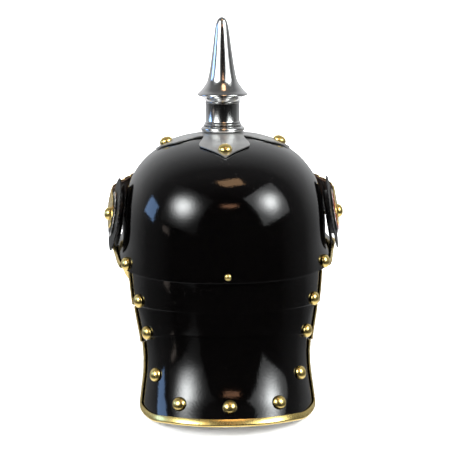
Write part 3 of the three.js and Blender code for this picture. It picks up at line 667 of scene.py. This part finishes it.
def cross_base():
    """The sheet lies on the dome and rises a little towards the collar."""
    tables = [arm_table(BASE_FORE_REACH), arm_table(BASE_REACH)]
    inner, neck_rise, neck_reach, steps = 6.0, 1.35, 17, 26
    corner_turn = tables[0][-1]["turn"]

    def place(turn, share):
        fold = abs((math.degrees(turn) + 45) % 90 - 45)
        rows = tables[round(math.degrees(turn) / 90) % 2]
        reach = inner + (from_table(rows, "turn", "reach", fold) - inner) * share
        x, y = math.sin(turn) * reach, -math.cos(turn) * reach
        rise = neck_rise * math.exp(-max(reach - neck_reach, 0) / 7)
        return Vector((x, y, skull_height_at(x, y) + BASE_LIFT + rise))

    fine = sorted({round(arm * 90 + side * (corner_turn * step / steps), 6)
                   for arm in range(4) for side in (-1, 1) for step in range(steps + 1)})
    turns = [math.radians(turn) for turn in fine]
    turns.append(turns[0] + 2 * math.pi)
    return steel_plate(laid_sheet("cross_base", turns, even(0, 1, 30), place), edge=0.22)


def neck_collar():
    rings = [(17.5, 0), (19.6, 0.1), (20.9, 0.8), (21.5, 1.7), (21.7, 2.6), (21.5, 3.6),
             (20.8, 4.5), (19.6, 5.2), (18.2, 5.4), (17.0, 5.4)]
    return turned_piece(
        "collar_bead", [(radius, COLLAR_SEAT + rise) for radius, rise in rings], 96, 60)


SPIKE_ROWS = [
    {"rise": 0.0, "radius": 1},
    {"rise": 0.012, "radius": 0.985},
    {"rise": 0.05, "radius": 0.86},
    {"rise": 0.094, "radius": 0.755},
    {"rise": 0.136, "radius": 0.665},
    {"rise": 0.188, "radius": 0.585},
    {"rise": 0.318, "radius": 0.496},
    {"rise": 0.578, "radius": 0.38},
    {"rise": 0.838, "radius": 0.276},
    {"rise": 0.903, "radius": 0.238},
    {"rise": 0.965, "radius": 0.17},
    {"rise": 0.99, "radius": 0.09},
    {"rise": 1.0, "radius": 0.01},
]


NECK_RINGS = [
    (18.4, 0), (18.9, 0.5), (18.9, 1.5), (18.3, 2.0), (17.2, 2.2), (17.2, 2.6), (17.6, 3.0),
    (17.6, 3.9), (17.1, 4.3), (16.8, 5.2), (16.7, 21.5), (16.9, 22.6), (17.5, 22.9), (17.5, 23.7),
    (16.9, 24.1), (17.1, 25.2), (18.1, 26.8), (19.9, 28.3), (22.0, 29.4), (24.1, 30.1), (24.8, 30.4)]


def steel_spike():
    """Nut and stem inside the skull, then the neck, its flange and the spike."""
    rings = [(11, 86.5), (11, 90), (5, 90.1), (5, NECK_FOOT)]
    rings += [(radius, NECK_FOOT + rise) for radius, rise in NECK_RINGS]
    for step in even(0, 1, 60):
        share = step**1.25
        radius = FLANGE_RADIUS * from_table(SPIKE_ROWS, "rise", "radius", share)
        rings.append((max(radius, 0.25), NECK_FOOT + NECK_RISE + SPIKE_RISE * share))
    return turned_piece("steel_spike", rings, 96, 40)


# Cockades

def cockade_frame(sign):
    """Its Z points out of the skull and its X forwards along the strap."""
    turn = sign * math.atan2(HALF_WIDTH, -COCKADE_BEHIND)
    spot = skull_point(turn, level_at_height(turn, COCKADE_HEIGHT))
    lean, back = math.radians(9), math.radians(7)
    axis = Vector((sign * math.cos(back) * math.cos(lean), math.sin(back) * math.cos(lean),
                   math.sin(lean)))
    forward = Vector((0, -math.cos(STRAP_SLOPE), math.sin(STRAP_SLOPE)))
    forward = (forward - axis * forward.dot(axis)).normalized()
    across = axis.cross(forward)
    matrix = Matrix((forward, across, axis)).transposed().to_4x4()
    matrix.translation = spot
    return matrix, spot, axis


def toothed_disc(name, radius, teeth, foot, sheet, dish, rays):
    """A disc drawn out ring by ring, with every second corner of its rim pulled in as a tooth."""
    clear_choice()
    hub, border, tooth = 2.0, 2.4, 2.1
    bpy.ops.mesh.primitive_circle_add(
        vertices=2 * teeth, radius=hub, fill_type="NOTHING", location=(0, 0, 0))
    disc = bpy.context.object
    disc.name = name
    edit_all(disc)
    reach = hub
    for share in even(0, 1, 12)[1:] + [1.0]:
        wider = hub + (radius - border - hub) * share if reach < radius - border - 0.1 else radius
        bpy.ops.mesh.extrude_region_move()
        bpy.ops.transform.resize(value=(wider / reach, wider / reach, 1), center_override=(0, 0, 0))
        reach = wider
    bpy.ops.object.mode_set(mode="OBJECT")
    for corner in disc.data.vertices:
        flat = math.hypot(corner.co.x, corner.co.y)
        turn = math.atan2(corner.co.y, corner.co.x)
        odd = round(turn / math.pi * teeth) % 2
        if flat > radius - 0.5 and odd:
            corner.co.xy *= (radius - tooth) / flat
        ripple = rays * (flat / radius) * (1 if odd else -1) if 4 < flat else 0
        corner.co.z = foot + sheet - dish * (flat / radius) ** 1.6 + ripple
    middle = disc.data.polygons[0]
    if middle.normal.z < 0:
        edit_all(disc)
        bpy.ops.mesh.flip_normals()
    return steel_plate(disc, sheet, 0.12)


def disc_boss(name, radius, foot, rise):
    edge = 0.4
    rings = [(radius - edge, 0), (radius, edge * 0.6), (radius, rise - edge * 0.6),
             (radius - edge, rise), (radius * 0.5, rise + 0.05), (0.5, rise + 0.05)]
    return turned_piece(name, [(wide, foot + high) for wide, high in rings], 72, 35)


def centre_disc(name, foot):
    rings = [(18.2, 0), (18.5, 0.2), (18.5, 0.45), (18.1, 0.6), (16.6, 0.55), (16.2, 0.35),
             (8.0, 0.5), (0.5, 0.55)]
    return turned_piece(name, [(wide, foot + high) for wide, high in rings], 72, 40)


END_HALF = 14.4
END_REACH = 34
END_FOOT = 11.76


def strap_end_plate(name):
    """The strap's brass end: round behind, tapered at its front end, with a raised rim."""
    taper = END_REACH - 4

    def half_at(x):
        if x < 0:
            return math.sqrt(max(END_HALF**2 - x * x, 0))
        if x > taper:
            return END_HALF * 0.98 * (END_REACH - x) / 4
        return END_HALF * (1 - 0.02 * x / END_REACH)

    columns = [END_HALF * -math.cos(turn) for turn in even(0, math.pi / 2, 14)]
    columns += even(0, taper, 16)[1:] + even(taper, END_REACH, 4)[1:]

    def place(x, share):
        y = half_at(x) * share
        crown = 1.1 * (1 - share * share)
        rimmed = 0.35 * math.exp(-((1 - abs(share)) / 0.1) ** 2)
        return Vector((x, y, END_FOOT + 0.35 + 0.75 * crown * 0.6 + rimmed))

    plate = laid_sheet(name, columns, even(-1, 1, 20), place, (0, 0, -50))
    return steel_plate(plate, 0.8, 0.15)


def cockades(brass, black, silver, red):
    dark, light = ("black_cockade", black), ("silver_cockade", silver)
    for word, sign in SIDES:
        matrix, spot, axis = cockade_frame(sign)
        centre = dark if sign > 0 else ("red_cockade", red)
        back_disc = toothed_disc(f"back_disc_{word}", BACK_DISC_RADIUS, 46, 2, 1, 0, 0.12)
        boss = disc_boss(f"disc_boss_{word}", DISC_BOSS_RADIUS, 3.3, 4.2)
        front_disc = toothed_disc(f"front_disc_{word}", FRONT_DISC_RADIUS, 52, 8.88, 1, 1.8, 0.16)
        rayed_disc = toothed_disc(f"rayed_disc_{word}", RAYED_DISC_RADIUS, 32, 10.18, 0.8, 0, 0.2)
        middle = centre_disc(f"centre_disc_{word}", 11.0)
        end_plate = strap_end_plate(f"strap_end_plate_{word}")
        for piece, node, (slot, material) in (
                (back_disc, "cockade_back_disc", dark), (boss, "cockade_boss", dark),
                (front_disc, "cockade_front_disc", dark), (rayed_disc, "cockade_ray_disc", light),
                (middle, "cockade_centre", centre), (end_plate, "strap_end", ("brass", brass))):
            place_on_helmet(piece, matrix)
            dress(piece, f"{node}_{word}", slot, material)
        node = f"cockade_stud_{word}"
        stud_foot = 13.1
        reach = cad_depth(node, spot, axis) - 1
        rings = [(2.0, -reach - 0.9), (2.8, -reach - 0.6), (2.8, -reach), (1.7, -reach + 0.02),
                 (1.7, stud_foot)]
        rings += dome_line(DOME_RADIUS, DOME_RISE, stud_foot)
        stud = turned_piece(node + "_domed", rings, 40, 40)
        place_on_helmet(stud, axis_frame(spot, axis))
        dress(stud, node, "brass", brass)


# Chin strap

STRAP_ROWS = [
    {"turn": 0, "stand": 0.12},
    {"turn": 30, "stand": 0.12},
    {"turn": 50, "stand": 0.16},
    {"turn": 62, "stand": 0.52},
    {"turn": 74, "stand": 1.06},
    {"turn": 84, "stand": 1.1},
]
STRAP_END = math.radians(75)
STRAP_CROWN = 1.3
STRAP_MID_WIDTH = 23
STRAP_END_WIDTH = 26.8
LEATHER_INSET = 1
STRAP_SHEET = 1.6
SCALE_COUNT = 13
BUCKLE_REACH = 8.5 / SKULL_FRONT


def strap_level(turn):
    return level_at_height(turn, COCKADE_HEIGHT + STRAP_RISE * math.cos(turn))


def strap_spot(turn):
    stand = END_FOOT * from_table(STRAP_ROWS, "turn", "stand", math.degrees(abs(turn)), True)
    return skull_at(turn, strap_level(turn), -stand)


def strap_frame(turn):
    """A spot of the strap's inner face, the way across it and the way out."""
    along = (strap_spot(turn + 0.02) - strap_spot(turn - 0.02)).normalized()
    normal = skull_normal(turn, strap_level(turn))
    across = along.cross(normal).normalized()
    outward = across.cross(along).normalized()
    return strap_spot(turn), across, outward if outward.dot(normal) > 0 else -outward


def strap_width(turn):
    return STRAP_MID_WIDTH + (STRAP_END_WIDTH - STRAP_MID_WIDTH) * abs(turn) / STRAP_END


def over_strap(frame_there, half, share, lift):
    """A spot at a share of the half width, lifted off the inner face and crowned."""
    spot, across, outward = frame_there
    return spot + across * share * half + outward * (lift + STRAP_CROWN * (1 - abs(share) ** 1.8))


def leather_band():
    frames = {turn: strap_frame(turn) for turn in even(-STRAP_END, STRAP_END, 150)}

    def place(turn, share):
        return over_strap(frames[turn], strap_width(turn) / 2 - LEATHER_INSET, share, STRAP_SHEET)

    band = laid_sheet("strap_band", list(frames), even(-1, 1, 10), place)
    return steel_plate(band, STRAP_SHEET, 0.4)


def brass_scale(name, sign, index):
    """One scale: a curved plate with a scalloped free edge that rises over the next one."""
    first = BUCKLE_REACH + 0.02
    pitch = (STRAP_END - first) / SCALE_COUNT
    start = first + pitch * index

    def place(along, share):
        scallop = 0.3 * (1 - abs(share) ** 2.2) if along > 0.5 else 0
        reach = start + pitch * (along * 0.98 + 0.02 + (scallop - 0.22) * max(along - 0.5, 0) * 2)
        lift = STRAP_SHEET + 0.35 + 0.85 * along + 0.35 * math.sin(math.pi * min(along * 1.1, 1))
        return over_strap(strap_frame(sign * reach), strap_width(reach) / 2, share, lift)

    scale = laid_sheet(name, even(0, 1, 8), even(-1, 1, 14), place)
    return steel_plate(scale, 0.6, 0.12)


def buckle_plate():
    """A plain plate over the middle of the strap, with a raised rim."""
    half, rim_rise = 13, 0.5

    def place(turn, share):
        rimmed = rim_rise * max(0, 1 - (1 - abs(share)) / 0.14)
        rimmed += rim_rise * max(0, 1 - (1 - abs(turn / BUCKLE_REACH)) / 0.2)
        return over_strap(strap_frame(turn), half, share, STRAP_SHEET + 1.5 + min(rimmed, rim_rise))

    columns = even(-BUCKLE_REACH, BUCKLE_REACH, 20)
    return steel_plate(laid_sheet("buckle_plate", columns, even(-1, 1, 24), place), 1.1, 0.2)


# Finishes

class Signal:
    """A socket of a shader tree. Arithmetic on signals adds Math nodes."""

    def __init__(self, socket):
        self.socket = socket
        self.tree = socket.id_data

    def node(self, kind, inputs, output=0, **settings):
        """Adds any shader node: its settings first, then the values or links of its sockets."""
        made = self.tree.nodes.new("ShaderNode" + kind)
        for name, value in settings.items():
            setattr(made, name, value)
        for name, value in inputs.items():
            if isinstance(value, Signal):
                self.tree.links.new(value.socket, made.inputs[name])
            else:
                made.inputs[name].default_value = value
        return Signal(made.outputs[output])

    def math(self, operation, *terms):
        return self.node("Math", dict(enumerate(terms)), operation=operation)

    def __add__(self, other):
        return self.math("ADD", self, other)

    def __radd__(self, other):
        return self.math("ADD", other, self)

    def __sub__(self, other):
        return self.math("SUBTRACT", self, other)

    def __rsub__(self, other):
        return self.math("SUBTRACT", other, self)

    def __mul__(self, other):
        return self.math("MULTIPLY", self, other)

    def above(self, low, high):
        """0 at low, 1 at high, straight between and level beyond. Low may be the larger one."""
        return self.node("MapRange", {"Value": self, "From Min": low, "From Max": high})

    def noise(self, scale, detail=2.0, roughness=0.5):
        return self.node("TexNoise", {
            "Vector": self, "Scale": scale, "Detail": detail, "Roughness": roughness})

    def stretched(self, x, y, z):
        return self.node("Mapping", {"Vector": self, "Scale": (x, y, z)})

    def blend(self, first, second):
        """A colour that goes from the first to the second as this mask goes from 0 to 1."""
        return self.node("Mix", {0: self, 6: first, 7: second}, output=2, data_type="RGBA")


def finish(name, **constants):
    """A new finish: its material, its shader and the place on the piece as a signal."""
    material = bpy.data.materials.new(name)
    material.use_nodes = True
    shader = material.node_tree.nodes["Principled BSDF"]
    for socket, value in constants.items():
        shader.inputs[socket.replace("_", " ")].default_value = value
    coordinates = material.node_tree.nodes.new("ShaderNodeTexCoord")
    return material, shader, Signal(coordinates.outputs["Object"])


def feed(shader, **signals):
    for socket, signal in signals.items():
        shader.id_data.links.new(signal.socket, shader.inputs[socket.replace("_", " ")])


def bumped(place, height, strength, distance):
    return place.node("Bump", {"Height": height, "Strength": strength, "Distance": distance})


def colour(red, green, blue):
    return (red, green, blue, 1)


def black_lacquer():
    material, shader, place = finish("black_lacquer", Metallic=0.0, IOR=1.5, Specular_IOR_Level=0.5)
    peel = place.noise(520)
    waves = place.noise(60, 1.0)
    scratches = place.stretched(60, 60, 900).noise(6, 3.0, 0.6)
    hairlines = scratches.above(0.66, 0.72)
    specks = place.node("TexVoronoi", {"Vector": place, "Scale": 170.0})
    dust = 1 - specks.above(0.03, 0.07)
    patches = place.noise(24).above(0.52, 0.62)
    dusty = dust * patches
    base = dusty.blend(colour(0.0006, 0.0005, 0.0005), colour(0.05, 0.05, 0.048))
    haze = place.noise(9) * 0.03
    feed(shader, Base_Color=base, Roughness=0.06 + haze + hairlines * 0.04 + dusty * 0.4,
         Normal=bumped(place, peel * 0.5 + waves, 0.16, 0.0006))
    return material


def polished_steel():
    material, shader, place = finish("polished_steel", Metallic=1.0)
    lines = place.stretched(1, 1, 60).noise(60, 3.0, 0.7)
    cloud = place.noise(45, 3.0)
    base = cloud.above(0.3, 0.75).blend(colour(0.6, 0.6, 0.6), colour(0.74, 0.74, 0.73))
    feed(shader, Base_Color=base, Roughness=0.1 + lines * 0.08 + cloud * 0.05,
         Normal=bumped(place, lines, 0.12, 0.0002))
    return material


def satin_steel():
    material, shader, place = finish("satin_steel", Metallic=1.0)
    grain = place.noise(1400, 3.0, 0.7)
    cloud = place.noise(60, 3.0)
    brushed = place.stretched(700, 700, 40).noise(2)
    base = cloud.above(0.3, 0.75).blend(colour(0.52, 0.52, 0.515), colour(0.66, 0.66, 0.65))
    feed(shader, Base_Color=base, Roughness=0.36 + grain * 0.09 + cloud * 0.06,
         Normal=bumped(place, grain * 0.5 + brushed, 0.12, 0.0002))
    return material


def polished_brass():
    material, shader, place = finish("polished_brass", Metallic=1.0)
    cloud = place.noise(110, 3.0, 0.6)
    grain = place.noise(1800)
    tarnish = cloud.above(0.5, 0.75)
    base = tarnish.blend(colour(0.83, 0.64, 0.23), colour(0.68, 0.46, 0.13))
    feed(shader, Base_Color=base, Roughness=0.24 + tarnish * 0.1 + grain * 0.06,
         Normal=bumped(place, grain, 0.06, 0.0002))
    return material


def enamel(name, deep, light, roughness):
    material, shader, place = finish(name, Metallic=0.0, IOR=1.5, Specular_IOR_Level=0.2)
    cloud = place.noise(130)
    grain = place.noise(900)
    base = cloud.above(0.35, 0.7).blend(deep, light)
    feed(shader, Base_Color=base, Roughness=roughness + cloud * 0.1,
         Normal=bumped(place, grain * 0.4 + cloud, 0.12, 0.0003))
    return material


def silvered_sheet():
    material, shader, place = finish("silvered_sheet", Metallic=1.0)
    cloud = place.noise(140, 3.0)
    grain = place.noise(1500)
    base = cloud.above(0.45, 0.75).blend(colour(0.8, 0.8, 0.78), colour(0.58, 0.57, 0.54))
    feed(shader, Base_Color=base, Roughness=0.24 + grain * 0.1,
         Normal=bumped(place, grain, 0.1, 0.0002))
    return material


def strap_leather():
    material, shader, place = finish("brown_leather", Metallic=0.0, IOR=1.45)
    pores = place.node("TexVoronoi", {"Vector": place, "Scale": 900.0})
    creases = place.noise(220, 4.0, 0.6)
    base = creases.above(0.35, 0.7).blend(colour(0.03, 0.016, 0.01), colour(0.075, 0.042, 0.026))
    feed(shader, Base_Color=base, Roughness=0.42 + creases * 0.25,
         Normal=bumped(place, pores * 0.5 + creases, 0.35, 0.0004))
    return material


# Making

lacquer = black_lacquer()
steel = polished_steel()
satin = satin_steel()
brass = polished_brass()
black = enamel("black_enamel", colour(0.003, 0.003, 0.003), colour(0.006, 0.0055, 0.0055), 0.3)
red = enamel("red_enamel", colour(0.14, 0.012, 0.009), colour(0.2, 0.018, 0.012), 0.3)
silver = silvered_sheet()
leather = strap_leather()


def make(piece, node, slot, material):
    place_on_helmet(piece)
    dress(piece, node, slot, material)


make(skull_shell(), "skull", "black_lacquer", lacquer)
for index, plate in enumerate(PLATES):
    make(guard_plate(index), plate["name"], "black_lacquer", lacquer)
make(visor_edging(), "visor_trim", "brass", brass)
make(tail_edging(), "tail_trim", "brass", brass)
for word, sign in SIDES:
    for index in (0, 1):
        make(lame_edging(index, word, sign), f"lame_{index + 1}_trim_{word}", "brass", brass)
all_rivets(brass)
make(cross_base(), "spike_base", "satin_steel", satin)
make(neck_collar(), "neck_collar", "polished_steel", steel)
make(steel_spike(), "spike", "polished_steel", steel)
cockades(brass, black, silver, red)
make(leather_band(), "strap_leather", "strap_leather", leather)
make(buckle_plate(), "strap_buckle", "brass", brass)
for word, sign in SIDES:
    scales = [brass_scale(f"scale_{word}_{i}", sign, i) for i in range(SCALE_COUNT)]
    make(joined(f"brass_scales_{word}", scales), f"strap_scales_{word}", "brass", brass)


# Camera and light

def aimed(piece, spot, target):
    piece.location = spot
    piece.rotation_euler = (Vector(target) - Vector(spot)).to_track_quat("-Z", "Y").to_euler()


CAMERA_YAW = math.radians(1.8)
CAMERA_RISE = math.radians(9)
CAMERA_DISTANCE = 1700
FRAME_SHIFT_RIGHT = 1.4
FRAME_SHIFT_UP = 3.0


def studio_camera():
    """The photograph's view: from behind, a little above the plane of the brow."""
    toward = Vector((math.sin(CAMERA_YAW) * math.cos(CAMERA_RISE),
                     math.cos(CAMERA_YAW) * math.cos(CAMERA_RISE), math.sin(CAMERA_RISE)))
    right = Vector((-math.cos(CAMERA_YAW), math.sin(CAMERA_YAW), 0))
    up = right.cross(-toward)
    clear_choice()
    bpy.ops.object.camera_add()
    camera = bpy.context.object
    camera.data.lens = 136
    camera.data.sensor_width = 36
    camera.data.clip_end = 50
    aimed(camera, STAND @ (toward * CAMERA_DISTANCE * MM),
          STAND @ ((right * FRAME_SHIFT_RIGHT + up * FRAME_SHIFT_UP) * MM))
    bpy.context.scene.camera = camera


FLOOR_REACH = 2.6
FLOOR_CURVE = 0.8
FLOOR_ROWS = [(0, 0), (0.5, 0), (1, 0), (2, 0), (FLOOR_REACH, 0)]
FLOOR_ROWS += [(FLOOR_REACH + FLOOR_CURVE * math.sin(turn), FLOOR_CURVE * (1 - math.cos(turn)))
               for turn in map(math.radians, range(9, 91, 9))]
FLOOR_ROWS += [(FLOOR_REACH + FLOOR_CURVE, 2), (FLOOR_REACH + FLOOR_CURVE, 5)]


def studio_floor():
    """A pale floor that curves up into a wall all round, in metres."""
    def place(turn, row):
        reach, height = row
        return Vector((math.sin(turn) * reach, math.cos(turn) * reach, height))

    floor = laid_sheet("studio_floor", even(0, 2 * math.pi, 96), FLOOR_ROWS, place, (0, 0, -1))
    smooth(floor, 60)
    material = finish("studio_paper", Roughness=0.85, Base_Color=colour(0.88, 0.88, 0.88))[0]
    floor.data.materials.append(material)
    floor.visible_glossy = False


def soft_light(name, spot, target, width, height, watts, tint=(1, 1, 1)):
    clear_choice()
    bpy.ops.object.light_add(type="AREA")
    light = bpy.context.object
    light.name = name
    light.data.shape = "RECTANGLE"
    light.data.size = width
    light.data.size_y = height
    light.data.energy = watts
    light.data.color = tint
    aimed(light, spot, target)
    return light


def brighten_middle(light, hot, rim, fade):
    """Its middle is brighter by hot than its edge, which has the strength rim."""
    light.data.use_nodes = True
    tree = light.data.node_tree
    spread = Signal(tree.nodes.new("ShaderNodeNewGeometry").outputs["Parametric"])
    parts = spread.node("SeparateXYZ", {"Vector": spread})
    x = parts - 0.5
    y = Signal(parts.socket.node.outputs[1]) - 0.5
    fall = (x * x + y * y) * 4 * -fade
    glow = fall.math("EXPONENT", fall)
    tree.links.new((glow * hot + rim).socket, tree.nodes["Emission"].inputs["Strength"])


def studio_air():
    """Pale towards the backdrop and far below, dark behind the camera."""
    world = bpy.data.worlds.new("studio_air")
    world.use_nodes = True
    bpy.context.scene.world = world
    background = world.node_tree.nodes["Background"]
    coordinates = world.node_tree.nodes.new("ShaderNodeTexCoord")
    ray = Signal(coordinates.outputs["Generated"])
    parts = ray.node("SeparateXYZ", {"Vector": ray})
    along, height = (Signal(parts.socket.node.outputs[i]) for i in (1, 2))
    dark, pale, paper = colour(0.004, 0.004, 0.0042), colour(0.74, 0.75, 0.76), colour(1.3, 1.3, 1.32)
    backdrop = (along + height * 0.12).above(-0.2, -0.96)
    sides = along.above(0.55, -0.2) * 0.2
    strength = height.above(-0.5, 0.05) * 0.75 + 0.25
    air = ((backdrop + sides) * strength).blend(dark, pale)
    air = height.above(-0.38, -0.62).blend(air, paper)
    world.node_tree.links.new(air.socket, background.inputs["Color"])


focus = STAND @ Vector((0, 0, 0))


def studio_spot(azimuth, elevation, reach):
    """A place seen from the helmet at a turn from +Y towards +X and a height above the floor."""
    turn, rise = math.radians(azimuth), math.radians(elevation)
    level = math.cos(rise)
    return focus + Vector((math.sin(turn) * level, math.cos(turn) * level, math.sin(rise))) * reach


# Where each light is seen from the helmet in degrees, its reach and size in metres, its power.
# Glow is hot, rim and fade of brighten_middle.
LIGHT_COLUMNS = (
    "name", "azimuth", "elevation", "reach", "width", "height", "watts", "tint", "glow")
LIGHTS = [dict(zip(LIGHT_COLUMNS, row)) for row in (
    ("left_softbox", 53, 35.5, 2.8, 2.8, 2.5, 215, (0.97, 1.0, 1.0), (2.2, 0.012, 5.4)),
    ("right_softbox", -59, 37.5, 2.8, 2.24, 2.15, 180, (0.97, 1.0, 1.0), (1.8, 0.09, 4.2)),
    ("window_light", 98, 11, 3.0, 1.0, 0.83, 11.7, (0.33, 0.56, 1.0), None),
    ("low_window", 67, 5, 3.0, 0.5, 0.22, 0.3, (0.95, 0.8, 0.7), None),
    ("warm_ceiling", -26, 79, 1.6, 0.38, 0.3, 1.5, (1.0, 0.6, 0.32), None),
    ("warm_room", -5, 44, 2.0, 0.3, 0.16, 0.5, (1.0, 0.5, 0.28), None),
)]


def studio_lights():
    for row in LIGHTS:
        spot = studio_spot(row["azimuth"], row["elevation"], row["reach"])
        light = soft_light(
            row["name"], spot, focus, row["width"], row["height"], row["watts"], row["tint"])
        if row["glow"]:
            brighten_middle(light, *row["glow"])
    for name, side in (("backdrop_light", -1), ("front_backdrop_light", 1)):
        spot, target = Vector((0, side * 0.6, 2.6)), Vector((0, side * 3.4, 0.2))
        soft_light(name, spot, target, 3.0, 1.0, 120).visible_glossy = False


studio_camera()
studio_floor()
studio_air()
studio_lights()
bpy.context.scene.view_settings.view_transform = "Standard"
